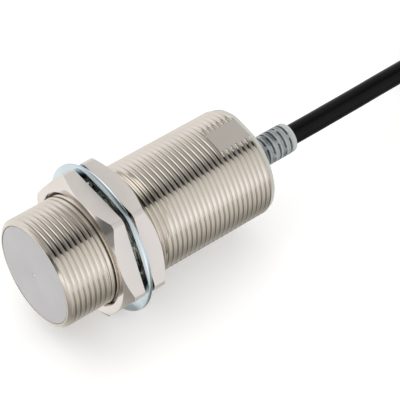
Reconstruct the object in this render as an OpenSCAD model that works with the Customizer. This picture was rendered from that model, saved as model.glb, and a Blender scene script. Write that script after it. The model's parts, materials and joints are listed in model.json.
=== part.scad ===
// Cylindrical inductive proximity sensor, M30 x 1.5, shielded, pre-wired.
// Millimetres. The barrel lies along +X with its sensing face at X = 0,
// centred on the origin, and +Z is up.

/* [Barrel] */
// Length of the body, from the sensing face to the back of the rear cover
body_l = 65; // [55:1:90]
// Major diameter of the barrel's thread
thread_d = 30; // [30:30]
// Pitch of the barrel's thread
thread_pitch = 1.5; // [1.5:0.5:2]
// Bore of the barrel
bore_d = 26; // [25:0.5:26]
// Diameter of the plastic sensing face
face_d = 27.2; // [27:0.1:27.4]
// Distance between the two milled flats at the rear of the barrel
flats_w = 28.3; // [27:0.1:29]
// Length of the milled flats
flats_l = 10; // [6:1:12]
// Direction of the first flat around the barrel, in degrees from +Y
flats_angle = 99; // [0:1:180]

/* [Clamping nuts and washer] */
// Distance across the flats of a clamping nut
nut_w = 36; // [36:1:41]
// Thickness of a clamping nut
nut_t = 5; // [4:0.5:8]
// Front face of the front nut
front_nut_x = 13.9; // [1:0.05:20]
// Space between the two nuts, taken by the toothed washer
nut_gap = 2.85; // [2:0.05:4]
// Direction of a corner of the nuts, in degrees from +Y
nut_angle = 126; // [0:1:180]
// Distance across the corners of a nut, which are slightly broken
nut_corner_d = 40.8; // [40:0.1:41.5]
// Outside diameter of the toothed washer
washer_d = 41; // [40.8:0.1:44]
// Thickness of the washer's ring
washer_t = 1.2; // [0.8:0.1:1.6]
// Number of teeth inside the washer
washer_teeth = 12; // [8:1:16]

/* [Cable] */
// Outside diameter of the cable's jacket
cable_d = 5.6; // [5:0.1:6]
// Height of the cable outlet below the barrel's axis
outlet_drop = 1.6; // [0:0.1:3]
// Length of the cable protector behind the rear cover
relief_l = 16; // [12:1:24]
// Diameter of the cable protector
relief_d = 8.2; // [7.6:0.1:9]
// Diameter of one insulated conductor
wire_d = 1.3; // [1:0.1:1.3]

/* [Cable hank] */
// Nearest point of the hank to the sensing face
hank_x = 138; // [130:1:160]
// Distance between the centres of the hank's end loops
hank_run = 104; // [90:1:110]
// Radius of the inner turns of the end loops
loop_r = 17; // [17:1:20]
// Turns that lie side by side in one layer
hank_lanes = 2; // [2:2]
// Layers of turns
hank_layers = 3; // [3:3]
// Width and thickness of the tie round the waist
tie_w = 4; // [3:0.5:5]
tie_t = 1; // [0.8:0.1:1.2]

/* [Circuit board] */
// Length, width and thickness of the board
board_l = 42.6; // [38:0.2:43]
board_w = 20; // [18:0.5:20]
board_t = 1; // [0.8:0.2:1]

/* [Hidden] */

$fn = 72;
eps = 0.01;

// Thread: broad flat crests and 30 degree flanks, shallow for the thin wall.
crest_r = thread_d / 2;
thread_depth = 0.41 * thread_pitch;
root_r = crest_r - thread_depth;
crest_w = 0.3 * thread_pitch;
flank_l = thread_depth * tan(30);
rim_r = crest_r - 1;
shoulder_r = crest_r - 0.1;
first_crest = 2.35;
cover_t = 1;
sleeve_l = body_l - cover_t;
ridges = floor((sleeve_l - 1.6 - first_crest) / thread_pitch) + 1;
bore_r = bore_d / 2;
face_r = face_d / 2;
face_t = 1.2;

// Coil and core behind the face.
skirt_wall = 0.8;
skirt_l = 13;
core_r = 11.9;
core_post_r = 4.8;
core_groove_r = 10.2;
core_floor_x = 7;
core_back_x = 9.4;
core_hole_r = 1.6;
lead_y = 7;
lead_r = 0.25;
carrier_t = 2;
carrier_r = bore_r - skirt_wall - 0.05;

// Board, level with the cable.
board_x = core_back_x + 1;
board_end = board_x + board_l;
board_top = board_t / 2 - outlet_drop;
board_under = -board_t / 2 - outlet_drop;
rail_l = 36;

// Cable outlet.
cable_r = cable_d / 2;
cable_z = -outlet_drop;
wire_r = wire_d / 2;
cable_x = 58;
plug_x = sleeve_l - 1;
boss_l = 1;
relief_x = body_l + boss_l;
relief_end = relief_x + relief_l;
relief_r = relief_d / 2;
relief_tail_r = 3.6;
relief_foot_r = 5;
relief_foot_x = 61.5;
slot_rows = 7;
slot_w = 0.55;
slot_pitch = 1.85;
slot_angle = 76;
slot_mid = 126;
slot_first = relief_x + 2.4;
ferrule_x = 58.8;
ferrule_l = 2.2;
ferrule_r = 3.5;

// Where the conductors meet the board: one on it, two side by side under it.
wire_places = [
    [0, board_top + wire_r],
    [1, board_under - wire_r],
    [-1, board_under - wire_r]
];
wire_start = 49;

// Nuts and washer.
bore_clearance = 0.03;
rear_nut_x = front_nut_x + nut_t + nut_gap;
washer_x = rear_nut_x - 0.7 - washer_t / 2;
nut_corner_r = nut_corner_d / 2;
nut_face_r = nut_w / 2 - 0.1;
nut_bore = crest_r + bore_clearance;
nut_mouth_r = nut_bore + 1;
floor_z = -washer_d / 2;
tooth_r = crest_r + 0.35;
tooth_root_r = crest_r + 3;
tooth_w = 3.6;
tooth_twist = 28;

// Hank: turns lie a cable's diameter apart, on the floor.
lane = cable_d;
outer_r = loop_r + (hank_lanes - 1) * lane;
hank_r = outer_r + cable_r;
hank_h = hank_layers * cable_d;
hank_top = floor_z + hank_h;
entry_z = hank_top + cable_r;
near_x = hank_x + hank_r;
far_x = near_x + hank_run;
waist_x = (near_x + far_x) / 2;
waist_y = hank_lanes * cable_d;
entry_x = 150;
entry_end = 186;
tail_x = far_x - 20;
tail_y = -outer_r;
tail_z = floor_z + cable_r;

// Route of the cable from its place in the potting to the hank.
cable_route = [
    [58, 0, -1.6], [66, 0, -1.6], [74, 0, -1.6], [82, 0, -1.6],
    [90, 0, -1.6], [98, 0, -1.5], [106, 0, -1.4], [114, 0, -1.2],
    [122, 0, -1.1], [130, 0, -1], [138, 0, -0.9], [144, 0, -0.9],
    [150, 0, -0.9]
];

// Routes of the three conductors, back from the end of the jacket.
tail_routes = [
    [[0, 0, 1], [-8, 0.2, 0.7], [-16, 0.5, -0.6], [-26, 1.2, -2.1],
     [-36, 1.6, -2.15], [-44, 1.6, -2.15]],
    [[0, -0.9, -0.7], [-8, -1.3, -1.1], [-16, -1.7, -1.8], [-26, -1.9, -2.1],
     [-36, -1.6, -2.15], [-44, -1, -2.15]],
    [[0, 0.9, -0.7], [-8, 1.6, -1.1], [-16, 3, -1.8], [-26, 4.6, -2.1],
     [-36, 5, -2.15], [-44, 4.4, -2.15]]
];
tail_r = 0.65;
strand_r = 0.45;

module along_x() {
    rotate([0, 90, 0]) children();
}

// A body of revolution about X, from points of [radius, x].
module turned(points) {
    along_x() rotate_extrude() polygon(points);
}

// A round bar along X.
module rod(r, x0, x1, y = 0, z = 0) {
    translate([x0, y, z]) along_x() cylinder(r = r, h = x1 - x0);
}

// A block between two corners.
module block(low, high) {
    translate(low) cube(high - low);
}

// A tube of n sides swept along a route.
function unit(v) = v / norm(v);
function heading(p, i) = unit(p[min(i + 1, len(p) - 1)] - p[max(i - 1, 0)]);
module swept(route, r, n) {
    rings = [
        for (i = [0 : len(route) - 1])
            let (t = heading(route, i), side = unit(cross([0, 0, 1], t)), up = cross(t, side))
                for (k = [0 : n - 1])
                    route[i] + r * (cos(360 * k / n) * side + sin(360 * k / n) * up)
    ];
    last = len(route) - 1;
    walls = [
        for (i = [0 : last - 1]) for (k = [0 : n - 1])
            let (a = i * n + k, b = i * n + (k + 1) % n)
                [a, a + n, b + n, b]
    ];
    ends = [
        [for (k = [0 : n - 1]) k],
        [for (k = [n - 1 : -1 : 0]) last * n + k]
    ];
    polyhedron(points = rings, faces = concat(walls, ends), convexity = 4);
}

// One ridge of the thread, as points of [radius, x].
function ridge(x) = [
    [root_r, x - crest_w / 2 - flank_l], [crest_r, x - crest_w / 2],
    [crest_r, x + crest_w / 2], [root_r, x + crest_w / 2 + flank_l]
];

// The cut that mills both flats.
module flats_cut(x0, x1) {
    for (turn = [0, 180])
        rotate([flats_angle + turn, 0, 0])
            block([x0, flats_w / 2, -thread_d], [x1, thread_d, thread_d]);
}

module housing_sleeve() {
    ridge_points = [
        for (i = [0 : ridges - 1]) each ridge(first_crest + i * thread_pitch)
    ];
    outline = concat(
        [[face_r, 0], [rim_r, 0], [shoulder_r, shoulder_r - rim_r], [shoulder_r, 1.1]],
        [[root_r, 1.1 + flank_l]],
        ridge_points,
        [[root_r, sleeve_l - 0.8], [shoulder_r - 0.3, sleeve_l - 0.5]],
        [[shoulder_r - 0.3, sleeve_l], [bore_r, sleeve_l], [bore_r, face_t], [face_r, face_t]]
    );
    color("#c9c0b2")
        difference() {
            turned(outline);
            flats_cut(sleeve_l - flats_l, sleeve_l + 1);
        }
}

module sensing_cap() {
    color("#c3c1c3")
        turned([
            [0, 0], [face_r, 0], [face_r, face_t], [bore_r, face_t],
            [bore_r, skirt_l], [bore_r - skirt_wall, skirt_l],
            [bore_r - skirt_wall, face_t], [0, face_t]
        ]);
}

module ferrite_core() {
    color("#3b3a3a")
        difference() {
            turned([
                [core_hole_r, face_t], [core_post_r, face_t],
                [core_post_r, core_floor_x], [core_groove_r, core_floor_x],
                [core_groove_r, face_t], [core_r, face_t],
                [core_r, core_back_x], [core_hole_r, core_back_x]
            ]);
            for (side = [-1, 1])
                rod(0.5, core_floor_x - 1, core_back_x + 1, side * lead_y, board_top + lead_r);
        }
}

module coil_bobbin() {
    flange = 0.5;
    color("#e6e2d6")
        turned([
            [core_post_r + 0.1, face_t + 0.1], [core_groove_r - 0.1, face_t + 0.1],
            [core_groove_r - 0.1, face_t + 0.1 + flange],
            [core_post_r + 0.9, face_t + 0.1 + flange],
            [core_post_r + 0.9, core_floor_x - flange],
            [core_groove_r - 0.1, core_floor_x - flange],
            [core_groove_r - 0.1, core_floor_x], [core_post_r + 0.1, core_floor_x]
        ]);
}

module coil_winding() {
    color("#b8672e")
        turned([
            [core_post_r + 0.9, face_t + 0.6], [core_groove_r - 0.6, face_t + 0.6],
            [core_groove_r - 0.6, core_floor_x - 0.5], [core_post_r + 0.9, core_floor_x - 0.5]
        ]);
}

module shield_band() {
    color("#c07a3f")
        turned([
            [core_r, face_t], [carrier_r, face_t],
            [carrier_r, core_back_x], [core_r, core_back_x]
        ]);
}

module coil_leads() {
    color("#b8672e")
        for (side = [-1, 1])
            rod(lead_r, core_floor_x, board_x + 4, side * lead_y, board_top + lead_r);
}

module board_carrier() {
    back = core_back_x + carrier_t;
    color("#2f3136")
        difference() {
            union() {
                rod(carrier_r, core_back_x, back);
                for (side = [-1, 1])
                    block([back - eps, side > 0 ? 9.2 : -11.4, board_under - 1.2],
                          [back + rail_l, side > 0 ? 11.4 : -9.2, board_top + 1.2]);
            }
            block([board_x, -board_w / 2, board_under], [board_end, board_w / 2, board_top]);
            for (side = [-1, 1])
                rod(0.5, core_back_x - 1, back + 1, side * lead_y, board_top + lead_r);
        }
}

module circuit_board() {
    color("#2c6b3f")
        block([board_x, -board_w / 2, board_under], [board_end, board_w / 2, board_top]);
}

// A chip's plastic body with a row of leads on each side.
module chip(x, y, size, leads, pitch) {
    translate([x, y, board_top]) {
        translate([-size[0] / 2, -size[1] / 2, 0.1]) cube(size);
        for (side = [-1, 1]) for (i = [0 : leads - 1])
            translate([(i - (leads - 1) / 2) * pitch - 0.2, side * (size[1] / 2 + 0.3) - 0.5, 0])
                cube([0.4, 1, 0.35]);
    }
}

// A two-ended part that lies on the top of the board, or hangs under it.
module chip_part(x, y, size, under = false) {
    z = under ? board_under - size[2] : board_top;
    translate([x - size[0] / 2, y - size[1] / 2, z]) cube(size);
}

module oscillator_ic() {
    color("#26262a") chip(23, 2, [5, 4, 1.5], 4, 1.27);
}

module voltage_regulator() {
    color("#26262a") chip(34, -4, [4.5, 2.5, 1.5], 3, 1.5);
}

module output_transistor() {
    color("#26262a") chip(43, 3, [6.5, 3.6, 1.7], 3, 2.3);
}

module tank_capacitor() {
    color("#b23b2a") chip_part(16.5, 0, [2.5, 7.2, 6]);
}

module smoothing_capacitor() {
    color("#c9a227") chip_part(33, 4, [6, 3.2, 2.6]);
}

module surge_diode() {
    color("#2b2b2e") chip_part(43, -4.5, [4.4, 3.4, 2.2]);
}

module chip_resistors() {
    color("#1e1f22") {
        for (x = [19.5, 27.5, 29.9]) chip_part(x, -4.5, [1.25, 2, 0.5]);
        for (x = [20, 24, 28, 32]) chip_part(x, 4, [1.25, 2, 0.5], true);
    }
}

module chip_capacitors() {
    color("#a98f6b") {
        for (x = [23.5, 38]) chip_part(x, -4.5, [1.25, 2, 0.9]);
        for (x = [22, 30, 38]) chip_part(x, -4, [1.25, 2, 0.9], true);
    }
}

module indicator_leds() {
    color("#ff9a3c") {
        chip_part(51, 5.5, [1.6, 3, 1.2]);
        chip_part(51, -5.5, [1.6, 3, 1.2]);
    }
}

module potting_resin() {
    color("#4a4238")
        difference() {
            rod(bore_r, board_end, plug_x);
            for (place = wire_places)
                rod(wire_r, board_end - 1, cable_x + 1, place[0], place[1]);
            rod(cable_r, cable_x, plug_x + 1, 0, cable_z);
            rod(ferrule_r, ferrule_x, ferrule_x + ferrule_l, 0, cable_z);
            rod(relief_foot_r, relief_foot_x, plug_x + 1, 0, cable_z);
        }
}

module rear_cover() {
    color("#b9bdae")
        difference() {
            union() {
                rod(bore_r, plug_x, sleeve_l);
                rod(crest_r - 0.5, sleeve_l, body_l);
                rod(relief_foot_r + 0.4, body_l - eps, relief_x, 0, cable_z);
            }
            rod(relief_tail_r, plug_x - 1, relief_x + 1, 0, cable_z);
            flats_cut(sleeve_l - 2, body_l + 2);
        }
}

// A ring of slots that lets the cable protector bend.
module slot_row(row) {
    for (i = [0 : 3])
        rotate([(row + 1) % 2 * 45 + i * 90 + slot_mid - slot_angle / 2, 0, 0])
            translate([slot_first + row * slot_pitch, 0, 0])
                rotate([90, 0, 90])
                    rotate_extrude(angle = slot_angle)
                        translate([cable_r - 0.5, 0]) square([3, slot_w]);
}

module strain_relief() {
    collar_x = relief_end - 1.6;
    color("#9ba3a3")
        translate([0, 0, cable_z])
            difference() {
                turned([
                    [cable_r, relief_foot_x], [relief_foot_r, relief_foot_x],
                    [relief_foot_r, plug_x], [relief_tail_r, plug_x],
                    [relief_tail_r, relief_x], [relief_r + 0.1, relief_x],
                    [relief_r, collar_x], [relief_r - 0.15, collar_x + 0.25],
                    [relief_r, collar_x + 0.5], [relief_r, relief_end - 0.8],
                    [relief_r - 0.25, relief_end - 0.25],
                    [relief_r - 0.8, relief_end], [cable_r, relief_end]
                ]);
                for (row = [0 : slot_rows - 1]) slot_row(row);
            }
}

module crimp_ferrule() {
    color("#b08d57")
        difference() {
            rod(ferrule_r, ferrule_x, ferrule_x + ferrule_l, 0, cable_z);
            rod(cable_r, ferrule_x - 1, ferrule_x + ferrule_l + 1, 0, cable_z);
        }
}

// One conductor, from its pad on the board to the end of the jacket.
module core_wire(i) {
    rod(wire_r, wire_start, cable_x, wire_places[i][0], wire_places[i][1]);
}

module brown_core() {
    color("#6b3f22") core_wire(0);
}

module blue_core() {
    color("#2456a6") core_wire(1);
}

module black_core() {
    color("#1c1c1e") core_wire(2);
}

module cable_lead() {
    color("#141416") swept(cable_route, cable_r, 12);
}

// Half the hank's width at x: full at the end loops, narrow at the waist.
function hank_half(x) =
    waist_y + (hank_r - waist_y) / 2 * (1 - cos(180 * (x - waist_x) / (hank_run / 2)));

module hank_outline() {
    steps = 24;
    side = [for (i = [0 : steps]) near_x + i * hank_run / steps];
    translate([near_x, 0]) circle(r = hank_r);
    translate([far_x, 0]) circle(r = hank_r);
    polygon(concat(
        [for (x = side) [x, hank_half(x)]],
        [for (i = [steps : -1 : 0]) [side[i], -hank_half(side[i])]]
    ));
}

module cable_hank() {
    color("#141416")
        difference() {
            union() {
                translate([0, 0, floor_z]) linear_extrude(hank_h) hank_outline();
                // the cable coming down off the first loop
                rotate([90, 0, 0])
                    translate([0, 0, -cable_r])
                        linear_extrude(cable_d)
                            polygon([
                                [entry_x, entry_z - cable_r], [entry_x, entry_z + cable_r],
                                [entry_x + 8, entry_z + cable_r], [entry_end, hank_top],
                                [entry_end, hank_top - 1], [entry_x, hank_top - 1]
                            ]);
                rod(cable_r, tail_x, far_x, tail_y, tail_z);
            }
            tie_ring(tie_t + 1);
        }
}

// A rectangular ring round the waist of the hank, with a wall as thick as t.
module tie_ring(t) {
    difference() {
        block([waist_x - tie_w / 2, -waist_y - t, floor_z + tie_t - t],
              [waist_x + tie_w / 2, waist_y + t, hank_top + t]);
        block([waist_x - tie_w, -waist_y, floor_z + tie_t],
              [waist_x + tie_w, waist_y, hank_top]);
    }
}

module hank_tie() {
    color("#1b1b1d") tie_ring(tie_t);
}

// One insulated conductor at the stripped end of the cable.
function tail_route(i) = [for (p = tail_routes[i]) [tail_x, tail_y, tail_z] + p];

module tail(i) {
    swept(tail_route(i), tail_r, 8);
}

module brown_tail() {
    color("#6b3f22") tail(0);
}

module blue_tail() {
    color("#2456a6") tail(1);
}

module black_tail() {
    color("#1c1c1e") tail(2);
}

// The bare, tinned ends of the conductors.
module tail_strands() {
    color("#c9c9c4")
        for (i = [0 : 2])
            let (route = tail_route(i), end = route[len(route) - 1])
                translate(end)
                    rotate([0, -90, atan2(route[5][1] - route[4][1], route[5][0] - route[4][0]) + 180])
                        cylinder(r = strand_r, h = 6);
}

// A hexagon nut along +X. Its corners are chamfered on one side, at x or at
// x + nut_t, and its bore is countersunk wider there.
module hex_nut(x, chamfer_front) {
    chamfer_l = (nut_corner_r - nut_face_r) * tan(35);
    mouth_l = nut_mouth_r - nut_bore;
    sink = 0.6;
    profile = [
        [nut_mouth_r, 0], [nut_face_r, 0], [nut_corner_r, chamfer_l],
        [nut_corner_r, nut_t - 0.2], [nut_corner_r - 0.4, nut_t],
        [nut_bore + sink, nut_t], [nut_bore, nut_t - sink], [nut_bore, mouth_l]
    ];
    translate([chamfer_front ? x : x + nut_t, 0, 0])
        mirror([chamfer_front ? 0 : 1, 0, 0])
            intersection() {
                turned(profile);
                rotate([nut_angle, 0, 0])
                    rotate([0, 90, 0])
                        rotate([0, 0, 90])
                            cylinder(r = nut_w / 2 / cos(30), h = nut_t, $fn = 6);
            }
}

module front_nut() {
    color("#cdc4b8") hex_nut(front_nut_x, true);
}

module rear_nut() {
    color("#cdc4b8") hex_nut(rear_nut_x, false);
}

// A flat ring with teeth inside, each twisted about its own length.
module toothed_washer() {
    color("#b9ccd6")
        union() {
            turned([
                [tooth_root_r, washer_x - washer_t / 2],
                [washer_d / 2 - 0.3, washer_x - washer_t / 2],
                [washer_d / 2, washer_x - washer_t / 2 + 0.3],
                [washer_d / 2, washer_x + washer_t / 2 - 0.3],
                [washer_d / 2 - 0.3, washer_x + washer_t / 2],
                [tooth_root_r, washer_x + washer_t / 2]
            ]);
            for (i = [0 : washer_teeth - 1])
                rotate([i * 360 / washer_teeth, 0, 0])
                    translate([washer_x, tooth_r, 0])
                        rotate([0, tooth_twist, 0])
                            translate([-washer_t / 2 + 0.15, 0, -tooth_w / 2])
                                cube([washer_t - 0.3, tooth_root_r - tooth_r + 0.6, tooth_w]);
        }
}

housing_sleeve();
sensing_cap();
ferrite_core();
coil_bobbin();
coil_winding();
shield_band();
coil_leads();
board_carrier();
circuit_board();
oscillator_ic();
voltage_regulator();
output_transistor();
tank_capacitor();
smoothing_capacitor();
surge_diode();
chip_resistors();
chip_capacitors();
indicator_leds();
potting_resin();
rear_cover();
strain_relief();
crimp_ferrule();
brown_core();
blue_core();
black_core();
cable_lead();
cable_hank();
hank_tie();
brown_tail();
blue_tail();
black_tail();
tail_strands();
front_nut();
rear_nut();
toothed_washer();
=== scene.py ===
import json
import math

import bmesh
import bpy
import numpy as np
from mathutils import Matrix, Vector


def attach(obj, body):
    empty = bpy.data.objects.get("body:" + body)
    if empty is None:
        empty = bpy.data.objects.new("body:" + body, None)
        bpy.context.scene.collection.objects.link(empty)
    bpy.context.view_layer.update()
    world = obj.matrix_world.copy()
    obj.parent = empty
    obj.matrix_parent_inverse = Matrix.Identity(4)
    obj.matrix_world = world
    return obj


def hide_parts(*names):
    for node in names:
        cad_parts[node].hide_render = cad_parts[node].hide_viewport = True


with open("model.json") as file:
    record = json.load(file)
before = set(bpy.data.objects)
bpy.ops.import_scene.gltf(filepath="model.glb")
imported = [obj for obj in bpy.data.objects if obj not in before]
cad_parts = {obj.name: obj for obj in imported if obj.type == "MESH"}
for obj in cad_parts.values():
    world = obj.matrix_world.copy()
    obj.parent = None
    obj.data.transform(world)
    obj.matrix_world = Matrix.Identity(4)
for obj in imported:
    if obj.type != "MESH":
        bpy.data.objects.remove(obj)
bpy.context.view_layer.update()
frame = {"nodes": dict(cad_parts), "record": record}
MM = 0.001
TAU = 2 * math.pi
SCENE = bpy.context.scene

# Sizes in millimetres and angles in degrees. The main ones repeat the CAD part's.
CREST_R, PITCH, THREAD_START = 15.0, 1.5, 1.0
SLEEVE_L = 64.0
BORE_R, FACE_R, FACE_T = 13.0, 13.6, 1.2
FLAT_H, FLAT_X, FLAT_ANGLE = 14.15, 54.0, 99.0
NUT_HALF, NUT_CORNER, NUT_T, NUT_ANGLE = 18.0, 20.4, 5.0, 126.0
NUT_FACE, NUT_MOUTH, NUT_BORE, NUT_SINK = 17.9, 16.03, 15.03, 0.65
NUT_CHAMFER = 35
FRONT_NUT_X, REAR_NUT_X, WASHER_X = 13.9, 21.75, 20.45
WASHER_R, WASHER_ROOT, WASHER_TEETH, WASHER_HALF_T = 20.5, 18.0, 12, 0.6
CABLE_R, CABLE_Z, FLOOR_Z = 2.8, -1.6, -20.5
RELIEF_R, RELIEF_X, RELIEF_END = 4.1, 66.0, 82.0
RELIEF_FOOT_X, RELIEF_FOOT_R, RELIEF_GAP = 63.0, 3.6, 0.04
SLOT_FIRST, SLOT_PITCH, SLOT_W, SLOT_ROWS = 68.4, 1.85, 0.55, 7
SLOT_SPAN, SLOT_ANGLE = 76, 126
HANK_X, HANK_RUN, LOOP_R = 138.0, 104.0, 17.0


# ---------------------------------------------------------------- camera

def make_camera():
    """The photograph's viewpoint, fitted to the outlines of barrel, nuts and washer."""
    azimuth, elevation = math.radians(-38.69), math.radians(45.20)
    distance, focal_px, picture_px, sensor = 532.86, 2095.87, 400, 36
    target = Vector((48.11, -5.08, 0)) * MM
    look = Vector((-math.sin(azimuth) * math.cos(elevation),
                   math.cos(azimuth) * math.cos(elevation), -math.sin(elevation)))
    camera = bpy.data.objects.new("camera", bpy.data.cameras.new("camera"))
    SCENE.collection.objects.link(camera)
    camera.location = target - look * distance * MM
    camera.rotation_mode = "QUATERNION"
    camera.rotation_quaternion = look.to_track_quat("-Z", "Y")
    camera.data.sensor_width = sensor
    camera.data.lens = sensor * focal_px / picture_px
    camera.data.clip_start, camera.data.clip_end = 0.01, 20
    SCENE.camera = camera


make_camera()


# ---------------------------------------------------------------- materials

class Nodes:
    """A short way to build one material's nodes."""

    def __init__(self, name, color, rough, metal=0.0, **sockets):
        self.material = bpy.data.materials.new(name)
        self.material.use_nodes = True
        self.tree = self.material.node_tree
        self.shader = self.tree.nodes["Principled BSDF"]
        self.shader.inputs["Base Color"].default_value = (*color, 1)
        self.shader.inputs["Roughness"].default_value = rough
        self.shader.inputs["Metallic"].default_value = metal
        for socket, value in sockets.items():
            self.shader.inputs[socket.replace("_", " ")].default_value = value
        self.material.diffuse_color = (*color, 1)
        self.normal = None
        self.coordinates = self.tree.nodes.new("ShaderNodeTexCoord")
        self.place = self.coordinates.outputs["Object"]

    def scaled(self, x, y, z):
        node = self.tree.nodes.new("ShaderNodeMapping")
        node.inputs["Scale"].default_value = (x, y, z)
        self.tree.links.new(self.place, node.inputs["Vector"])
        return node.outputs["Vector"]

    def noise(self, scale, detail=3.0, rough=0.5, stretch=(1, 1, 1)):
        node = self.tree.nodes.new("ShaderNodeTexNoise")
        node.inputs["Scale"].default_value = scale
        node.inputs["Detail"].default_value = detail
        node.inputs["Roughness"].default_value = rough
        self.tree.links.new(self.scaled(*stretch), node.inputs["Vector"])
        return node.outputs["Fac"]

    def remap(self, value, low, high, out_low, out_high):
        node = self.tree.nodes.new("ShaderNodeMapRange")
        for socket, number in zip(("From Min", "From Max", "To Min", "To Max"),
                                  (low, high, out_low, out_high)):
            node.inputs[socket].default_value = number
        self.tree.links.new(value, node.inputs["Value"])
        return node.outputs["Result"]

    def math(self, operation, first, second=None):
        """A Math node, or a Vector Math one for what takes vectors."""
        vectors = operation in ("DOT_PRODUCT", "LENGTH")
        node = self.tree.nodes.new("ShaderNodeVectorMath" if vectors else "ShaderNodeMath")
        node.operation = operation
        self.tree.links.new(first, node.inputs[0])
        if isinstance(second, bpy.types.NodeSocket):
            self.tree.links.new(second, node.inputs[1])
        elif second is not None:
            node.inputs[1].default_value = second
        return node.outputs["Value"]

    def axis(self, vector, name):
        node = self.tree.nodes.new("ShaderNodeSeparateXYZ")
        self.tree.links.new(vector, node.inputs["Vector"])
        return node.outputs[name]

    def mix_color(self, factor, color):
        """Mixes one colour into the base colour."""
        node = self.tree.nodes.new("ShaderNodeMix")
        node.data_type = "RGBA"
        first, second = [socket for socket in node.inputs if socket.type == "RGBA"]
        target = self.shader.inputs["Base Color"]
        self.tree.links.new(target.links[0].from_socket, first)
        second.default_value = (*color, 1)
        self.tree.links.new(factor, node.inputs["Factor"])
        result = [socket for socket in node.outputs if socket.type == "RGBA"][0]
        self.tree.links.new(result, target)

    def vary_color(self, value, dark, light, low=0.35, high=0.65):
        ramp = self.tree.nodes.new("ShaderNodeValToRGB")
        ramp.color_ramp.elements[0].position = low
        ramp.color_ramp.elements[0].color = (*dark, 1)
        ramp.color_ramp.elements[1].position = high
        ramp.color_ramp.elements[1].color = (*light, 1)
        self.tree.links.new(value, ramp.inputs["Fac"])
        self.tree.links.new(ramp.outputs["Color"], self.shader.inputs["Base Color"])

    def vary_rough(self, value, low, high):
        self.tree.links.new(self.remap(value, 0.3, 0.7, low, high),
                            self.shader.inputs["Roughness"])

    def bump(self, value, depth_mm, strength=1.0):
        node = self.tree.nodes.new("ShaderNodeBump")
        node.inputs["Strength"].default_value = strength
        node.inputs["Distance"].default_value = depth_mm * MM
        self.tree.links.new(value, node.inputs["Height"])
        if self.normal:
            self.tree.links.new(self.normal, node.inputs["Normal"])
        self.normal = node.outputs["Normal"]
        self.tree.links.new(self.normal, self.shader.inputs["Normal"])


def metal(name, dark, light, rough, grain=900, bump=0.004):
    m = Nodes(name, light, rough[0], 1.0)
    cloud = m.noise(grain, 4, 0.6)
    m.vary_color(m.noise(60, 3), dark, light)
    m.vary_rough(cloud, *rough)
    m.bump(cloud, bump, 0.6)
    return m.material


def barrel_metal(name, dark, light):
    """Bright plate on the thread, with the two milled flats a little lighter and duller."""
    m = Nodes(name, light, 0.07, 1.0)
    cloud = m.noise(900, 4, 0.6)
    m.vary_color(m.noise(60, 3), dark, light)
    m.bump(cloud, 0.001, 0.6)
    angle = math.radians(FLAT_ANGLE)
    facing = m.math("DOT_PRODUCT", m.coordinates.outputs["Normal"],
                    (0, math.cos(angle), math.sin(angle)))
    milled = m.remap(m.math("ABSOLUTE", facing), 0.9990, 0.9995, 0.0, 1.0)
    behind = m.remap(m.axis(m.place, "X"), FLAT_X * MM, (FLAT_X + 0.02) * MM, 0.0, 1.0)
    milled = m.math("MULTIPLY", milled, behind)
    m.mix_color(milled, (0.86, 0.81, 0.745))
    m.tree.links.new(m.math("ADD", m.remap(cloud, 0.3, 0.7, 0.05, 0.09),
                            m.math("MULTIPLY", milled, 0.33)),
                     m.shader.inputs["Roughness"])
    return m.material


def nut_metal(name, dark, light):
    """Satin on the hexagon's flats and brighter on the turned faces, which look along X.

    The countersink is painted dark, as painted shade in place of the shaded start of the nut's
    thread.
    """
    m = Nodes(name, light, 0.4, 1.0)
    cloud = m.noise(500, 4, 0.6)
    m.vary_color(m.noise(60, 3), dark, light)
    turned = m.math("ABSOLUTE", m.axis(m.coordinates.outputs["Normal"], "X"))
    # Painted shade: inside the countersink the base colour turns dark, for the shaded start of
    # the thread.
    radius = m.math("LENGTH", m.scaled(0, 1, 1))
    m.mix_color(m.remap(radius, (NUT_MOUTH - 0.5) * MM, (NUT_MOUTH - 0.1) * MM, 1.0, 0.0),
                (0.12, 0.115, 0.11))
    m.tree.links.new(m.math("ADD", m.remap(turned, 0.3, 0.6, 0.42, 0.13),
                            m.remap(cloud, 0.3, 0.7, -0.03, 0.03)),
                     m.shader.inputs["Roughness"])
    m.tree.links.new(m.remap(turned, 0.3, 0.6, 0.60, 1.0), m.shader.inputs["Metallic"])
    m.bump(cloud, 0.003, 0.6)
    return m.material


def plastic(name, dark, light, rough, grain=1500, bump=0.006, **sockets):
    m = Nodes(name, light, rough[0], 0.0, **sockets)
    fine = m.noise(grain, 3, 0.6)
    m.vary_color(m.noise(90, 4), dark, light)
    m.vary_rough(fine, *rough)
    m.bump(fine, bump, 0.5)
    return m.material


def cap_plastic(name, dark, light, gate_highlight):
    """Light grey plastic, with a painted highlight at the middle, on the X axis: a pale spot on
    the pip that the moulding gate left.
    """
    m = Nodes(name, light, 0.45)
    fine = m.noise(2200, 3, 0.6)
    m.vary_color(m.noise(90, 4), dark, light)
    m.vary_rough(fine, 0.42, 0.52)
    m.bump(fine, 0.004, 0.5)
    distance = m.math("LENGTH", m.scaled(0, 1, 1))
    # Painted highlight: a pale spot on the gate's pip, at the middle of the face.
    m.mix_color(m.remap(distance, 0.00026, 0.00034, 1.0, 0.0), gate_highlight)
    return m.material


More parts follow.
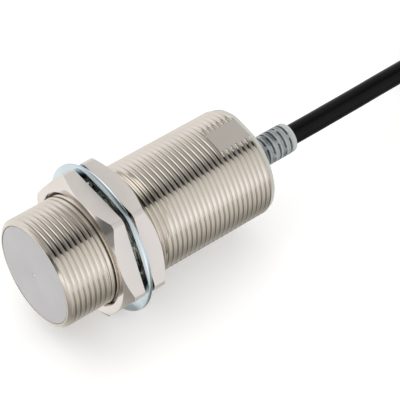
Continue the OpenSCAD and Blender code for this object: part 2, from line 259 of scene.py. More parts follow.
def relief_plastic(name, dark, light, pale_and_highlight):
    """Cloudy soft plastic, paler at its start and at the collar, with a painted highlight along
    one side of each ring of slots.
    """
    m = Nodes(name, light, 0.3, Subsurface_Weight=0.4, Subsurface_Radius=(1, 1, 1),
              Subsurface_Scale=0.001, Coat_Weight=0.3)
    along = m.axis(m.place, "X")
    cloud = m.remap(m.noise(220, 2, 0.5, (2.5, 1, 1)), 0.3, 0.7, -0.25, 0.25)
    m.vary_color(m.math("ADD", m.remap(along, 0.066, 0.080, 0.40, 0.60), cloud), dark, light)
    # Painted highlight: a pale band along one side of each ring of slots, where a slot's wall
    # would catch the light.
    row = m.math("FRACT", m.math("DIVIDE", m.math("SUBTRACT", along, SLOT_FIRST * MM),
                                 SLOT_PITCH * MM))
    edges = m.math("MULTIPLY", m.remap(row, 0.28, 0.34, 0.0, 1.0),
                   m.remap(row, 0.46, 0.60, 1.0, 0.0))
    m.mix_color(m.math("MULTIPLY", edges, 0.45), pale_and_highlight)
    m.mix_color(m.remap(along, 0.0668, 0.0684, 0.8, 0.0), pale_and_highlight)
    m.mix_color(m.remap(along, 0.0800, 0.0806, 0.0, 1.0), pale_and_highlight)
    fine = m.noise(1500, 3, 0.6)
    m.vary_rough(fine, 0.24, 0.34)
    m.bump(fine, 0.006, 0.5)
    return m.material


MATERIALS = {
    "nickel": barrel_metal("nickel", (0.70, 0.655, 0.585), (0.76, 0.71, 0.635)),
    "nut_nickel": nut_metal("nut_nickel", (0.80, 0.755, 0.715), (0.86, 0.815, 0.78)),
    "zinc": metal("zinc", (0.66, 0.79, 0.85), (0.76, 0.88, 0.93), (0.14, 0.26), 400, 0.004),
    "copper": metal("copper", (0.60, 0.27, 0.12), (0.72, 0.36, 0.18), (0.30, 0.42)),
    "brass": metal("brass", (0.52, 0.38, 0.18), (0.62, 0.48, 0.26), (0.30, 0.42)),
    "tin": metal("tin", (0.66, 0.65, 0.62), (0.78, 0.77, 0.74), (0.22, 0.35)),
    # The cap's last colour is the painted highlight on the gate's pip.
    "cap": cap_plastic("cap", (0.525, 0.52, 0.525), (0.56, 0.555, 0.56), (0.95, 0.95, 0.95)),
    "cover": plastic("cover", (0.56, 0.56, 0.52), (0.64, 0.64, 0.60), (0.32, 0.45),
                     Subsurface_Weight=0.3, Subsurface_Radius=(1, 1, 1),
                     Subsurface_Scale=0.001),
    # The relief's last colour makes its start and collar paler and paints the highlight on its
    # rings of slots.
    "relief": relief_plastic("relief", (0.12, 0.145, 0.15), (0.36, 0.39, 0.39),
                             (0.52, 0.555, 0.555)),
    "jacket": plastic("jacket", (0.003, 0.003, 0.004), (0.005, 0.005, 0.006), (0.26, 0.33),
                      900, 0.004, Specular_IOR_Level=0.14),
    "tie": plastic("tie", (0.014, 0.014, 0.015), (0.022, 0.022, 0.024), (0.40, 0.50)),
    "ferrite": plastic("ferrite", (0.05, 0.05, 0.05), (0.08, 0.08, 0.08), (0.55, 0.7)),
    "bobbin": plastic("bobbin", (0.72, 0.69, 0.60), (0.80, 0.77, 0.68), (0.45, 0.55)),
    "carrier": plastic("carrier", (0.03, 0.03, 0.04), (0.05, 0.05, 0.06), (0.45, 0.55)),
    "laminate": plastic("laminate", (0.03, 0.15, 0.06), (0.05, 0.22, 0.10), (0.25, 0.35)),
    "chip": plastic("chip", (0.02, 0.02, 0.02), (0.035, 0.035, 0.035), (0.5, 0.6)),
    "ceramic": plastic("ceramic", (0.48, 0.36, 0.24), (0.58, 0.45, 0.31), (0.5, 0.6)),
    "film": plastic("film", (0.48, 0.08, 0.05), (0.58, 0.11, 0.08), (0.25, 0.35)),
    "tantalum": plastic("tantalum", (0.66, 0.45, 0.05), (0.75, 0.53, 0.08), (0.3, 0.4)),
    "led": plastic("led", (0.85, 0.40, 0.08), (0.92, 0.48, 0.12), (0.12, 0.2)),
    "resin": plastic("resin", (0.10, 0.08, 0.07), (0.13, 0.11, 0.09), (0.2, 0.35)),
    "brown": plastic("brown", (0.15, 0.06, 0.025), (0.20, 0.09, 0.04), (0.35, 0.45)),
    "blue": plastic("blue", (0.02, 0.09, 0.40), (0.03, 0.12, 0.50), (0.35, 0.45)),
    "black": plastic("black", (0.012, 0.012, 0.012), (0.02, 0.02, 0.02), (0.35, 0.45)),
}
SLOT_LOOKS = {
    "nickel_brass": "nickel", "zinc_steel": "zinc", "grey_plastic": "cap",
    "translucent_plastic": "cover", "soft_protector": "relief", "black_pvc": "jacket",
    "black_nylon": "tie", "ferrite": "ferrite", "bobbin_plastic": "bobbin",
    "copper": "copper", "laminate": "laminate", "carrier_plastic": "carrier",
    "chip_black": "chip", "ceramic_tan": "ceramic", "film_red": "film",
    "tantalum_yellow": "tantalum", "led_amber": "led", "resin": "resin",
    "ferrule_brass": "brass", "wire_brown": "brown", "wire_blue": "blue",
    "wire_black": "black", "tinned_copper": "tin",
}
for row in frame["record"]["subparts"]:
    node = frame["nodes"][row["node"]]
    node.data.materials.clear()
    node.data.materials.append(MATERIALS[SLOT_LOOKS[row["material_slot"]]])


# ---------------------------------------------------------------- meshes

def piece(name, points, faces, look, body, replaced=(), slot=None, sharp=28.0):
    """A mesh piece from points in millimetres, welded and smooth but for its sharp edges."""
    mesh = bpy.data.meshes.new(name)
    mesh.from_pydata((np.asarray(points, float) * MM).tolist(), [], faces)
    bm = bmesh.new()
    bm.from_mesh(mesh)
    bmesh.ops.remove_doubles(bm, verts=bm.verts, dist=1e-6)
    bmesh.ops.dissolve_degenerate(bm, edges=bm.edges, dist=1e-7)
    bmesh.ops.recalc_face_normals(bm, faces=bm.faces)
    bm.to_mesh(mesh)
    bm.free()
    mesh.polygons.foreach_set("use_smooth", [True] * len(mesh.polygons))
    mesh.set_sharp_from_angle(angle=math.radians(sharp))
    mesh.materials.append(MATERIALS[look])
    obj = bpy.data.objects.new(name, mesh)
    SCENE.collection.objects.link(obj)
    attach(obj, body)
    if replaced:
        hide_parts(*replaced)
    return obj


def flat_shaded(obj):
    """Lets the large faces set the shading, so that flats look flat beside their bevels."""
    modifier = obj.modifiers.new("weighted normals", "WEIGHTED_NORMAL")
    modifier.keep_sharp = True
    return obj


def around(x, r, phi):
    """The point at distance r from the X axis, phi degrees from +Y towards +Z."""
    a = math.radians(phi)
    return (x, r * math.cos(a), r * math.sin(a))


def columns_to_mesh(columns, closed=True):
    """Joins point columns of one length side by side, each closed on itself and all in a ring."""
    count, size = len(columns), len(columns[0])
    points = [p for column in columns for p in column]
    faces = []
    for i in range(count if closed else count - 1):
        a, b = i * size, (i + 1) % count * size
        for j in range(size):
            k = (j + 1) % size
            faces.append((a + j, b + j, b + k, a + k))
    return points, faces


def lathe(profile, segments):
    """A closed profile of (x, r), turned about the X axis."""
    return columns_to_mesh([
        [around(x, r, 360 * i / segments) for x, r in profile] for i in range(segments)])


def capped_tube(rings):
    """Joins rings of points of one size end to end, and closes both ends."""
    size = len(rings[0])
    last = (len(rings) - 1) * size
    points = [p for ring in rings for p in ring]
    faces = [tuple(range(size)), tuple(last + i for i in range(size))[::-1]]
    for j in range(len(rings) - 1):
        for i in range(size):
            a, b = j * size + i, j * size + (i + 1) % size
            faces.append((a, b, b + size, a + size))
    return points, faces


def sweep(route, radius, sides):
    """A tube along a route, without twist and closed at both ends."""
    route = [Vector(p) for p in route]
    tangents = []
    for i in range(len(route)):
        a, b = route[max(i - 1, 0)], route[min(i + 1, len(route) - 1)]
        tangents.append((b - a).normalized())
    side = tangents[0].cross(Vector((0, 0, 1)))
    if side.length < 0.1:
        side = tangents[0].cross(Vector((0, 1, 0)))
    side.normalize()
    points, faces = [], []
    for p, t in zip(route, tangents):
        side = (side - t * side.dot(t)).normalized()
        up = t.cross(side)
        for k in range(sides):
            a = TAU * k / sides
            points.append(p + radius * (math.cos(a) * side + math.sin(a) * up))
    for i in range(len(route) - 1):
        for k in range(sides):
            a, b = i * sides + k, i * sides + (k + 1) % sides
            faces.append((a, b, b + sides, a + sides))
    faces.append(tuple(range(sides))[::-1])
    faces.append(tuple((len(route) - 1) * sides + k for k in range(sides)))
    return points, faces


def joined(*parts):
    """The points and faces of several meshes as one."""
    points, faces = [], []
    for more_points, more_faces in parts:
        base = len(points)
        points += list(more_points)
        faces += [tuple(base + i for i in f) for f in more_faces]
    return points, faces


def smooth_route(points, step):
    """Points about step apart on a Catmull-Rom curve through the given ones."""
    p = [Vector(q) for q in points]
    p = [p[0] * 2 - p[1]] + p + [p[-1] * 2 - p[-2]]
    out = []
    for i in range(1, len(p) - 2):
        a, b, c, d = p[i - 1:i + 3]
        count = max(1, round((c - b).length / step))
        for k in range(count):
            t = k / count
            out.append(0.5 * ((2 * b) + (c - a) * t + (2 * a - 5 * b + 4 * c - d) * t * t
                              + (3 * b - a - 3 * c + d) * t ** 3))
    out.append(p[-2])
    return out


# ---------------------------------------------------------------- cable

# The cable from inside the sensor to the hank.
LEAD_POINTS = [(58, 0, -1.6), (66, 0, -1.6), (74, 0, -1.6), (82, 0, -1.6), (90, 0, -1.6),
               (98, 0, -1.5), (106, 0, -1.4), (114, 0, -1.2), (122, 0, -1.1), (130, 0, -1.0),
               (138, 0, -0.9), (144, 0, -0.9), (150, 0, -0.9), (158, 0, -0.9)]
# Lane and layer of each turn, and how far the last one runs back.
HANK_TURNS = [(0, 0), (1, 0), (1, 1), (0, 1), (0, 2), (1, 2)]
LAST_RUN = (0, 7, 14, 20)
ENTRY_STEPS, RUN_STEPS, LOOP_STEPS = 8, 13, 14
TIE_LIFT = 0.9


def eased(t):
    return t * t * (3 - 2 * t)


def hank_route():
    """The cable's points, its end, and the middle of the hank, where the tie is.

    The hank has six turns in three layers of two, from the top layer down to the floor.
    """
    d, outer = 2 * CABLE_R, LOOP_R + 2 * CABLE_R
    near = HANK_X + outer + CABLE_R
    far = near + HANK_RUN
    mid = (near + far) / 2
    top = FLOOR_Z + 2.5 * d

    def lane_point(x, side, lane, z):
        """A point of a run, which is drawn in and lifted at the tie."""
        turn = math.pi * (x - mid) / (HANK_RUN / 2)
        swing = (LOOP_R + CABLE_R - d) / 2
        y = d + swing * (1 - math.cos(turn))
        slope = swing * math.sin(turn) * math.pi / (HANK_RUN / 2)
        across = (lane - 0.5) * d
        n = 1 / math.hypot(1, slope)
        lift = TIE_LIFT * max(0.0, math.cos(turn / 2)) ** 8
        return (x - slope * n * across, side * (y + n * across), z + lift)

    points = list(LEAD_POINTS)
    entry = points[-1]
    for i in range(1, ENTRY_STEPS):
        t = i / ENTRY_STEPS
        s = eased(t)
        x = entry[0] + (mid - entry[0]) * t
        goal = lane_point(x, 1, 0, top)
        points.append((x, CABLE_R * s, entry[2] + (goal[2] - entry[2]) * s))
    for k, (lane, layer) in enumerate(HANK_TURNS):
        z, r = top - layer * d, LOOP_R + lane * d
        for i in range(0, RUN_STEPS + 1):
            x = near + HANK_RUN * i / RUN_STEPS
            if k > 0 and i > 0 or k == 0 and x > mid:
                points.append(lane_point(x, 1, lane, z))
        for i in range(1, LOOP_STEPS):
            a = math.pi / 2 - math.pi * i / LOOP_STEPS
            points.append((far + r * math.cos(a), r * math.sin(a), z))
        if k == len(HANK_TURNS) - 1:
            points += [(far - x, -r, z) for x in LAST_RUN]
            break
        for i in range(0, RUN_STEPS + 1):
            points.append(lane_point(far - HANK_RUN * i / RUN_STEPS, -1, lane, z))
        next_lane, next_layer = HANK_TURNS[k + 1]
        r2, z2 = LOOP_R + next_lane * d, top - next_layer * d
        for i in range(1, LOOP_STEPS + 1):
            t = i / LOOP_STEPS
            s = eased(t)
            a = -math.pi / 2 - math.pi * t
            rr = r + (r2 - r) * s
            points.append((near + rr * math.cos(a), rr * math.sin(a), z + (z2 - z) * s))
    return points, (far - LAST_RUN[-1], -outer, FLOOR_Z + CABLE_R), mid


CABLE_POINTS, TAIL, TIE_X = hank_route()
CABLE_PATH = smooth_route(CABLE_POINTS, 3.0)
cable = piece("cable", *sweep(CABLE_PATH, CABLE_R, 20), "jacket", "barrel",
              ("cable_lead", "cable_hank"), "black_pvc", 60)

# The conductors' routes from the jacket's end, and the strands at their ends.
CORE_R, STRAND_R, STRAND_RING_R = 0.65, 0.155, 0.29
STRAND_L, STRAND_INSIDE, STRAND_TURNS, STRAND_STEPS = 6, 0.6, 1.1, 12
TAIL_ROUTES = {
    "brown": [(0, 0, 1), (-8, 0.2, 0.7), (-16, 0.5, -0.6), (-26, 1.2, -2.1),
              (-36, 1.6, -2.15), (-44, 1.6, -2.15)],
    "blue": [(0, -0.9, -0.7), (-8, -1.3, -1.1), (-16, -1.7, -1.8), (-26, -1.9, -2.1),
             (-36, -1.6, -2.15), (-44, -1, -2.15)],
    "black": [(0, 0.9, -0.7), (-8, 1.6, -1.1), (-16, 3, -1.8), (-26, 4.6, -2.1),
              (-36, 5, -2.15), (-44, 4.4, -2.15)],
}


def make_tails():
    """The three conductors at the stripped end, and their tinned strands."""
    made, strands = [], []
    for color, route in TAIL_ROUTES.items():
        path = smooth_route([Vector(p) + Vector(TAIL) for p in route], 1.5)
        inner = [path[0] + Vector((3, 0, 0))] + path
        made.append(piece(f"{color}_wire", *sweep(inner, CORE_R, 12), color, "barrel",
                          (f"{color}_tail",), f"wire_{color}", 60))
        end, along = path[-1], (path[-1] - path[-2]).normalized()
        side = along.cross(Vector((0, 0, 1))).normalized()
        up = along.cross(side)
        for k in range(7):
            radius = 0.0 if k == 0 else STRAND_RING_R
            line = []
            for i in range(STRAND_STEPS + 1):
                s = i / STRAND_STEPS
                a = TAU * (k / 6 + s * STRAND_TURNS)
                line.append(end + along * (STRAND_L * s - STRAND_INSIDE)
                            + radius * (math.cos(a) * side + math.sin(a) * up))
            strands.append(sweep(line, STRAND_R, 6))
    made.append(piece("strands", *joined(*strands), "tin", "barrel", ("tail_strands",),
                      "tinned_copper", 60))
    return made


# The tie: the band's section, and the head's outline and steps (distance out, and size).
TIE_T, TIE_RAISED, TIE_SUNK = 0.9, 1.0, 0.05
TIE_SECTION = ((-1.8, 0), (-2, 0.2), (-2, TIE_T - 0.2), (-1.8, TIE_T),
               (1.8, TIE_T), (2, TIE_T - 0.2), (2, 0.2), (1.8, 0))
TIE_HEAD = ((-2.3, -3), (-2.6, -2.7), (-2.6, 2.7), (-2.3, 3),
            (2.3, 3), (2.6, 2.7), (2.6, -2.7), (2.3, -3))
TIE_HEAD_STEPS = ((0, 0.94), (0.3, 1.0), (3.2, 1.0), (3.6, 0.9))
# The cut-off end in the head: distance out, and half its width.
TIE_STUB, TIE_STUB_HALF_T = ((3.4, 1.7), (6.0, 1.5)), 0.45


def make_tie():
    """A flat nylon tie round the waist of the hank, with its head on the +Y side."""
    half_y, half_z = 2 * 2 * CABLE_R, 1.5 * 2 * CABLE_R
    centre_z, corner = FLOOR_Z + TIE_RAISED + half_z, CABLE_R
    columns = []
    for side_y, side_z, start in ((1, 1, 0), (-1, 1, 90), (-1, -1, 180), (1, -1, 270)):
        y, z = side_y * (half_y - corner), side_z * (half_z - corner)
        for i in range(7):
            a = math.radians(start + 15 * i)
            column = []
            for x, t in TIE_SECTION:
                r = corner + t - TIE_SUNK
                column.append((TIE_X + x, y + r * math.cos(a),
                               centre_z + z + r * math.sin(a)))
            columns.append(column)
    band = columns_to_mesh(columns)
    y0 = half_y + 0.5
    head = capped_tube([[(TIE_X + k * x, y0 + t, centre_z + k * z) for x, z in TIE_HEAD]
                        for t, k in TIE_HEAD_STEPS])
    end = []
    for out, half in TIE_STUB:
        for z in (-TIE_STUB_HALF_T, TIE_STUB_HALF_T):
            end += [(TIE_X - half, y0 + out, centre_z + z),
                    (TIE_X + half, y0 + out, centre_z + z)]
    end_faces = [(0, 1, 3, 2), (4, 6, 7, 5), (0, 4, 5, 1), (2, 3, 7, 6), (0, 2, 6, 4),
                 (1, 5, 7, 3)]
    return piece("tie", *joined(band, head, (end, end_faces)), "tie",
                 "barrel", ("hank_tie",), "black_nylon", 40)


tails = make_tails()
tie = make_tie()


# ---------------------------------------------------------------- barrel

# One pitch of the thread: distance from the crest's middle, and radius.
THREAD_SHAPE = ((-0.75, 14.56), (-0.69, 14.59), (-0.63, 14.65), (-0.35, 14.90),
                (-0.30, 14.95), (-0.25, 15.0), (0.12, 15.0), (0.20, 14.988), (0.34, 14.95),
                (0.45, 14.91), (0.53, 14.86), (0.64, 14.68), (0.69, 14.60), (0.75, 14.56))


def thread_r(u):
    """Radius of the thread at u millimetres from the middle of a crest."""
    u = (u + PITCH / 2) % PITCH - PITCH / 2
    return float(np.interp(u, [s[0] for s in THREAD_SHAPE], [s[1] for s in THREAD_SHAPE]))


# The turned rims: radius at each end, and how steeply the front one opens.
FRONT_RIM_R, FRONT_SLOPE, REAR_RIM_R = 14.0, 1.15, 14.55
BARREL_COLUMNS, RIM_EDGE, FACE_EDGE = 240, 0.05, 0.08


def make_barrel():
    """The sleeve with its right-hand helix, cut by the two milled flats."""
    offsets = [offset for offset, _ in THREAD_SHAPE[:-1]]
    start, end = RIM_EDGE, SLEEVE_L - RIM_EDGE
    turns = range(-2, int(SLEEVE_L / PITCH) + 3)

    def outer_r(x, phi):
        r = thread_r(x - PITCH * phi / 360 - THREAD_START)
        return min(r, FRONT_RIM_R + x * FRONT_SLOPE, REAR_RIM_R + (SLEEVE_L - x))

    columns = []
    for i in range(BARREL_COLUMNS + 1):
        phi = 360 * i / BARREL_COLUMNS
        xs = [min(max(THREAD_START + PITCH * (t + phi / 360) + o, start), end)
              for t in turns for o in offsets]
        rs = [outer_r(x, phi) for x in xs]
        delta = min(abs((phi - FLAT_ANGLE - h + 180) % 360 - 180) for h in (0, 180))
        if delta < 80:
            flat = FLAT_H / math.cos(math.radians(delta))
            if flat < CREST_R:
                k = max(j for j, x in enumerate(xs) if x <= FLAT_X)
                xs[k], xs[k + 1] = FLAT_X, FLAT_X + 0.01
                rs[k] = outer_r(FLAT_X, phi)
                for j in range(k + 1, len(xs)):
                    rs[j] = min(outer_r(xs[j], phi), flat)
        profile = [(FACE_T, FACE_R), (FACE_EDGE, FACE_R), (0, FACE_R + FACE_EDGE), (0, 13.98)]
        profile += list(zip(xs, rs))
        rear = min(14.5, rs[-1] - 0.04)
        profile += [(SLEEVE_L, rear), (SLEEVE_L, BORE_R), (FACE_T, BORE_R)]
        columns.append([around(x, r, phi) for x, r in profile])
    points, faces = columns_to_mesh(columns, closed=False)
    return flat_shaded(piece("threaded_barrel", points, faces, "nickel", "barrel",
                             ("housing_sleeve",), "nickel_brass", 33))


def make_cap():
    """The face, with a shallow dish round its middle, and the skirt behind it."""
    fit, skirt = BORE_R - 0.02, BORE_R - 0.8
    profile = [(0.06, 0), (0.06, 0.18), (0.09, 0.26), (0.20, 0.40), (0.21, 0.5), (0.16, 0.66),
               (0.04, 0.82), (0.0, 0.95), (0.0, 13.2), (0.03, 13.36), (0.1, 13.46),
               (0.22, 13.52), (FACE_T, 13.55), (FACE_T, fit), (13, fit),
               (13, skirt), (1.25, skirt), (FACE_T, 0)]
    return piece("face", *lathe(profile, 144), "cap", "barrel", ("sensing_cap",),
                 "grey_plastic", 35)


make_barrel()
make_cap()


# ---------------------------------------------------------------- nuts and washer

def nut_columns(x, front):
    """A hexagon nut whose chamfered and countersunk side looks forward or back."""
    broken = 28.07  # where a flat meets the broken corner
    offsets = [-30, -29, -broken, -27, *(2.5 * k for k in range(-10, 11)), 27, broken, 29]
    mouth = NUT_MOUTH - NUT_BORE
    columns = []
    for face in range(6):
        for offset in offsets:
            r = min(NUT_HALF / math.cos(math.radians(offset)), NUT_CORNER)
            depth = (r - NUT_FACE) * math.tan(math.radians(NUT_CHAMFER))
            profile = [
                (0.04, NUT_MOUTH - 0.07), (0.0, NUT_MOUTH + 0.03), (0.0, NUT_FACE - 0.06),
                (0.02, NUT_FACE + 0.01), (depth - 0.036, r - 0.054), (depth - 0.01, r - 0.02),
                (depth + 0.06, r), (NUT_T - 0.2, r), (NUT_T - 0.05, r - 0.06),
                (NUT_T, r - 0.22), (NUT_T, NUT_BORE + NUT_SINK),
                (NUT_T - NUT_SINK, NUT_BORE), (mouth, NUT_BORE)]
            phi = NUT_ANGLE + 30 + 60 * face + offset
            columns.append([
                around(x + (h if front else NUT_T - h), rr, phi) for h, rr in profile])
    return columns


# A tooth's sections, from root to tip: radius, twist and half its width.
TOOTH = ((18.4, 0, 2.6), (17.9, 4, 2.2), (17.4, 14, 1.9),
         (16.7, 24, 1.75), (16.0, 30, 1.7), (15.42, 32, 1.6))
TOOTH_HALF_T, TOOTH_EDGE_T, TOOTH_EDGE = 0.42, 0.3, 0.12


def tooth_rings(phi):
    out = Vector((0, math.cos(phi), math.sin(phi)))
    across = Vector((0, -math.sin(phi), math.cos(phi)))
    along = Vector((1, 0, 0))
    rings = []
    for r, twist, wide in TOOTH:
        a = math.radians(twist)
        u = across * math.cos(a) + along * math.sin(a)
        v = along * math.cos(a) - across * math.sin(a)
        narrow = wide - TOOTH_EDGE
        section = ((-wide, -TOOTH_EDGE_T), (-narrow, -TOOTH_HALF_T), (narrow, -TOOTH_HALF_T),
                   (wide, -TOOTH_EDGE_T), (wide, TOOTH_EDGE_T), (narrow, TOOTH_HALF_T),
                   (-narrow, TOOTH_HALF_T), (-wide, TOOTH_EDGE_T))
        rings.append([Vector((WASHER_X, 0, 0)) + out * r + u * s + v * t for s, t in section])
    return rings


def make_washer():
    """A ring with rounded edges, and teeth that twist as they reach inwards."""
    half = WASHER_HALF_T
    profile = [(-half, WASHER_ROOT), (-half, WASHER_R - 0.35), (-half + 0.1, WASHER_R - 0.12),
               (-half + 0.32, WASHER_R), (half - 0.32, WASHER_R), (half - 0.1, WASHER_R - 0.12),
               (half, WASHER_R - 0.35), (half, WASHER_ROOT)]
    parts = [lathe([(WASHER_X + x, r) for x, r in profile], 180)]
    for i in range(WASHER_TEETH):
        parts.append(capped_tube(tooth_rings(math.radians(360 * i / WASHER_TEETH))))
    return piece("lock_washer", *joined(*parts), "zinc", "toothed_washer",
                 ("toothed_washer",), "zinc_steel", 30)


flat_shaded(piece("nut_in_front", *columns_to_mesh(nut_columns(FRONT_NUT_X, True)),
                  "nut_nickel", "front_nut", ("front_nut",), "nickel_brass", 24))
flat_shaded(piece("nut_behind", *columns_to_mesh(nut_columns(REAR_NUT_X, False)),
                  "nut_nickel", "rear_nut", ("rear_nut",), "nickel_brass", 24))
make_washer()


# ---------------------------------------------------------------- cable protector

# The grooved collar: place along X, and depth below the protector's radius.
COLLAR_SHAPE = ((80.4, 0), (80.55, 0.13), (80.75, 0.13), (80.9, 0),
                (81.3, 0), (81.6, 0.09), (81.85, 0.32), (RELIEF_END, 0.7))
EDGE_BEVEL = 0.00009  # metres


def make_relief():
    """The ribbed protector, with four slots in each ring and every other ring turned."""
    cuts = []
    for row in range(SLOT_ROWS):
        turn = 45 if row % 2 == 0 else 0
        cuts.append([(turn + 90 * k + SLOT_ANGLE - SLOT_SPAN / 2) % 360 for k in range(4)])
    edges = {a % 360 for starts in cuts for s in starts for a in (s, s + SLOT_SPAN)}
    every = sorted(edges | {float(a) for a in range(0, 360, 5)})
    angles = every[:1]
    for a in every[1:]:
        if a - angles[-1] >= 1.5 or a in edges:
            angles.append(a)
    bands = [(RELIEF_FOOT_X, RELIEF_FOOT_R), (RELIEF_X, RELIEF_FOOT_R),
             (RELIEF_X, RELIEF_R + 0.1)]
    for row in range(SLOT_ROWS):
        x = SLOT_FIRST + row * SLOT_PITCH
        bands += [(x, RELIEF_R + 0.06), (x + SLOT_W, RELIEF_R + 0.06)]
    bands += [(x, RELIEF_R - depth) for x, depth in COLLAR_SHAPE]
    points, index = [], {}

    def vertex(i, j, outside):
        key = (i, j % len(angles), outside)
        if key not in index:
            x, r = bands[i]
            index[key] = len(points)
            p = around(x, r if outside else CABLE_R + RELIEF_GAP, angles[j % len(angles)])
            points.append((p[0], p[1], p[2] + CABLE_Z))
        return index[key]

    def solid(i, j):
        """Whether there is plastic in one patch, just past its first angle."""
        if not 0 <= i < len(bands) - 1:
            return False
        x = (bands[i][0] + bands[i + 1][0]) / 2
        a = angles[j % len(angles)] + 0.5
        for row, starts in enumerate(cuts):
            x0 = SLOT_FIRST + row * SLOT_PITCH
            if x0 < x < x0 + SLOT_W and any((a - s) % 360 < SLOT_SPAN for s in starts):
                return False
        return bands[i + 1][0] > bands[i][0] or bands[i + 1][1] != bands[i][1]

    faces = []
    for i in range(len(bands) - 1):
        for j in range(len(angles)):
            if not solid(i, j):
                continue
            o, n = ([vertex(i, j, outside), vertex(i, j + 1, outside),
                     vertex(i + 1, j + 1, outside), vertex(i + 1, j, outside)]
                    for outside in (True, False))
            faces.append(tuple(o))
            if bands[i + 1][0] > bands[i][0]:
                faces.append(tuple(n[::-1]))
            if not solid(i - 1, j):
                faces.append((o[1], o[0], n[0], n[1]))
            if not solid(i + 1, j):
                faces.append((o[3], o[2], n[2], n[3]))
            if not solid(i, j - 1):
                faces.append((o[0], o[3], n[3], n[0]))
            if not solid(i, j + 1):
                faces.append((o[2], o[1], n[1], n[2]))
    obj = piece("protector", points, faces, "relief", "barrel", ("strain_relief",),
                "soft_protector", 35)
    bevel = obj.modifiers.new("soft edges", "BEVEL")
    bevel.width, bevel.segments, bevel.limit_method = EDGE_BEVEL, 2, "ANGLE"
    bevel.angle_limit = math.radians(40)
    return obj


make_relief()


# ---------------------------------------------------------------- studio

WARM, PLAIN, COOL = (1.0, 0.965, 0.90), (1.0, 0.985, 0.965), (1.0, 0.985, 1.01)

# The studio around the barrel, as levels by direction: degrees from the front (-Y)
# horizon, 90 overhead, with one list for what faces the sensing end, one for the
# middle and one for the cable's end. The levels were set by comparing renders
# with the photograph, so the barrel's bands are reflections of them and not its material.
STUDIO = {
    "sensing end": [
        (-180, 0.95, PLAIN), (-128, 0.95, PLAIN), (-100, 0.60, WARM), (-81, 0.36, WARM),
        (-72, 0.34, WARM), (-62, 0.44, WARM), (-54, 0.60, WARM), (-39, 0.78, PLAIN),
        (-29, 0.94, PLAIN), (-18, 1.20, COOL), (-5, 1.12, COOL), (10, 0.96, COOL),
        (27, 0.84, PLAIN), (45, 0.70, PLAIN), (58, 0.52, PLAIN), (70, 0.30, PLAIN),
        (80, 0.27, PLAIN), (99, 0.46, PLAIN), (117, 0.46, PLAIN), (129, 0.48, PLAIN),
        (140, 0.60, PLAIN), (151, 0.78, PLAIN), (164, 1.0, COOL), (180, 0.95, COOL)],
    "middle": [
        (-180, 0.84, COOL), (-150, 0.80, COOL), (-120, 0.50, WARM), (-88, 0.25, WARM),
        (-72, 0.15, WARM), (-56, 0.18, WARM), (-44, 0.27, WARM), (-32, 0.37, WARM),
        (-23, 0.42, PLAIN), (-18, 0.50, PLAIN), (-14, 0.76, COOL), (0, 0.90, COOL),
        (12, 0.85, COOL), (24, 0.82, PLAIN), (36, 0.80, PLAIN), (48, 0.78, PLAIN),
        (60, 0.62, PLAIN), (62.5, 0.01, PLAIN), (76, 0.01, PLAIN), (84, 0.06, WARM),
        (92, 0.13, WARM), (100, 0.22, PLAIN), (112, 0.34, PLAIN), (124, 0.38, PLAIN),
        (138, 0.37, PLAIN), (158, 0.56, COOL), (172, 0.82, COOL), (180, 0.84, COOL)],
    "cable end": [
        (-180, 0.98, PLAIN), (-140, 0.90, PLAIN), (-60, 0.38, WARM), (-14, 0.78, PLAIN),
        (12, 0.70, PLAIN), (36, 0.68, PLAIN), (57, 0.56, PLAIN), (62, 0.08, PLAIN),
        (78, 0.06, PLAIN), (88, 0.20, PLAIN), (94, 0.42, PLAIN), (102, 0.95, PLAIN),
        (112, 1.40, PLAIN), (126, 1.55, PLAIN), (150, 1.35, PLAIN), (168, 1.05, PLAIN),
        (180, 0.98, PLAIN)],
}


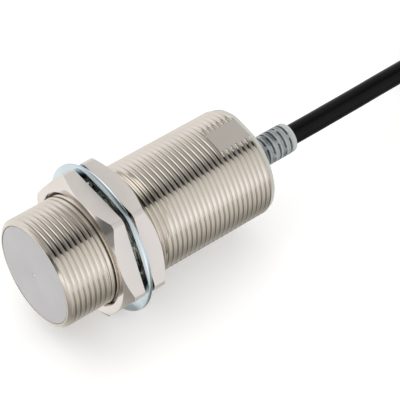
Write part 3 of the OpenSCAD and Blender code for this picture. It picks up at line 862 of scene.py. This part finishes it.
def make_world():
    """A soft studio with a dark strip overhead, which draws the dark band on the barrel."""
    world = bpy.data.worlds.new("studio")
    SCENE.world = world
    world.use_nodes = True
    tree = world.node_tree
    links = tree.links
    background = tree.nodes["Background"]
    place = tree.nodes.new("ShaderNodeTexCoord")
    split = tree.nodes.new("ShaderNodeSeparateXYZ")
    links.new(place.outputs["Generated"], split.inputs["Vector"])

    def math_node(operation, first, second):
        node = tree.nodes.new("ShaderNodeMath")
        node.operation = operation
        for socket, value in zip(node.inputs, (first, second)):
            if isinstance(value, (int, float)):
                socket.default_value = value
            else:
                links.new(value, socket)
        return node.outputs["Value"]

    def remap(value, low, high, out_low=0.0, out_high=1.0, kind="LINEAR"):
        node = tree.nodes.new("ShaderNodeMapRange")
        node.interpolation_type = kind
        for socket, number in zip(("From Min", "From Max", "To Min", "To Max"),
                                  (low, high, out_low, out_high)):
            node.inputs[socket].default_value = number
        links.new(value, node.inputs["Value"])
        return node.outputs["Result"]

    towards_front = math_node("MULTIPLY", split.outputs["Y"], -1.0)
    turn = remap(math_node("ARCTAN2", split.outputs["Z"], towards_front), -math.pi, math.pi)

    def levels(stops):
        node = tree.nodes.new("ShaderNodeValToRGB")
        links.new(turn, node.inputs["Fac"])
        elements = node.color_ramp.elements
        while len(elements) > 1:
            elements.remove(elements[-1])
        for k, (degrees, level, tint) in enumerate(stops):
            position = (degrees + 180) / 360
            element = elements[0] if k == 0 else elements.new(position)
            element.position = position
            element.color = (*(level * c for c in tint), 1)
        return node.outputs["Color"]

    def mixed(factor, first, second):
        node = tree.nodes.new("ShaderNodeMix")
        node.data_type = "RGBA"
        links.new(factor, node.inputs["Factor"])
        colors = [socket for socket in node.inputs if socket.type == "RGBA"]
        links.new(first, colors[0])
        links.new(second, colors[1])
        return [socket for socket in node.outputs if socket.type == "RGBA"][0]

    along = split.outputs["X"]
    front, middle, back = (levels(stops) for stops in STUDIO.values())
    color = mixed(remap(along, 0.10, 0.32, kind="SMOOTHSTEP"), front, middle)
    color = mixed(remap(along, 0.50, 0.68, kind="SMOOTHSTEP"), color, back)
    links.new(color, background.inputs["Color"])

    # The dark end of the studio that the nuts' corners reflect, straight ahead.
    dot = tree.nodes.new("ShaderNodeVectorMath")
    dot.operation = "DOT_PRODUCT"
    dot.inputs[1].default_value = (-0.994, -0.04, 0.10)
    links.new(place.outputs["Generated"], dot.inputs[0])
    links.new(remap(dot.outputs["Value"], 0.957, 0.980, 1.0, 0.3, "SMOOTHSTEP"),
              background.inputs["Strength"])


def make_light(name, place, aim, size, power):
    light = bpy.data.lights.new(name, "AREA")
    light.shape, light.size, light.size_y = "RECTANGLE", size[0], size[1]
    light.energy = power
    obj = bpy.data.objects.new(name, light)
    SCENE.collection.objects.link(obj)
    obj.location = place
    obj.rotation_euler = (Vector(aim) - Vector(place)).to_track_quat("-Z", "Y").to_euler()
    return obj


def make_sheet(name, x0, x1, half_y, z, color, glow):
    """A level stage sheet, in metres, that also gives a little light."""
    mesh = bpy.data.meshes.new(name)
    mesh.from_pydata([(x0, -half_y, z), (x1, -half_y, z), (x1, half_y, z), (x0, half_y, z)],
                     [], [(0, 1, 2, 3)])
    sheet = bpy.data.objects.new(name, mesh)
    SCENE.collection.objects.link(sheet)
    m = Nodes(name, (color, color, color), 0.9, Emission_Color=(1, 1, 1, 1),
              Emission_Strength=glow)
    mesh.materials.append(m.material)
    return sheet


def make_floor():
    """A white floor, and the shade under the barrel, which only reflections see."""
    z = FLOOR_Z * MM
    floor = make_sheet("floor", -6.0, 6.0, half_y=6.0, z=z, color=0.92, glow=0.28)
    floor.visible_glossy = False
    shade = make_sheet("shade", 0.0155, 0.075, half_y=0.012, z=z - 0.0005, color=0.0, glow=0.35)
    shade.visible_camera = shade.visible_diffuse = shade.visible_shadow = False


make_world()
make_floor()
top_light = make_light("top", place=(0.05, 0.1, 1.3), aim=(0.05, 0, 0), size=(2.4, 2.4),
                       power=16.0)
top_light.visible_glossy = False
SCENE.view_settings.view_transform = "Standard"
